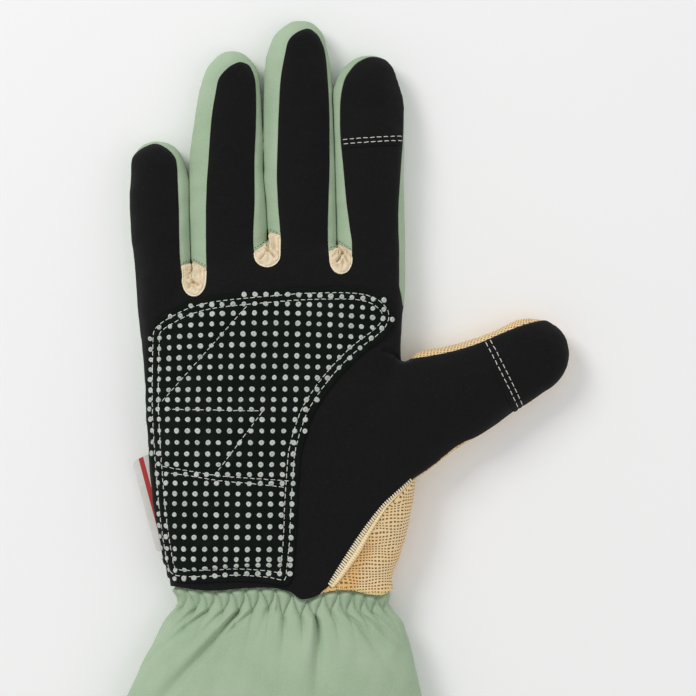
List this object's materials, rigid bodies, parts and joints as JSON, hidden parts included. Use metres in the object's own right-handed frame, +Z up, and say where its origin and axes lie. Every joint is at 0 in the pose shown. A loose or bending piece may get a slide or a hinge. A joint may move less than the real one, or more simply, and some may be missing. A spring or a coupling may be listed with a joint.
{
  "type": "pruning gauntlet glove",
  "caption": "Right-hand work glove with dotted grip palm, mesh thumb, green finger sides and back, and a long flared cuff gathered at the wrist, lying palm up.",
  "frame": {"origin": "on the surface that the glove lies on, under the middle of the palm", "axes": "+Y from the cuff to the fingertips, +X towards the thumb, +Z up out of the palm side"},
  "size_m": [0.1841, 0.391, 0.0367],
  "materials": {
    "sage_cloth": "smooth matte woven cotton",
    "black_suede_cloth": "matte short-napped suede-like cloth",
    "dotted_grip_cloth": "matte knit with raised light rubber dots",
    "cream_mesh": "open matte mesh",
    "cream_cloth": "plain weave, matte",
    "label_tape": "fine woven tape, slight sheen"
  },
  "bodies": {
    "root": {"palm_panel": "black_suede_cloth", "palm_grip_patch": "dotted_grip_cloth", "index_tip_patch": "black_suede_cloth", "thumb_tip_patch": "black_suede_cloth", "gusset_little_ring": "cream_cloth", "gusset_ring_middle": "cream_cloth", "gusset_middle_index": "cream_cloth", "finger_band_little": "sage_cloth", "finger_band_ring": "sage_cloth", "finger_band_middle": "sage_cloth", "finger_band_index": "sage_cloth", "back_panel": "sage_cloth", "thumb_mesh_panel": "cream_mesh", "heel_seam_binding": "cream_cloth", "side_label": "label_tape", "gauntlet_cuff": "sage_cloth"}
  },
  "joints": []
}
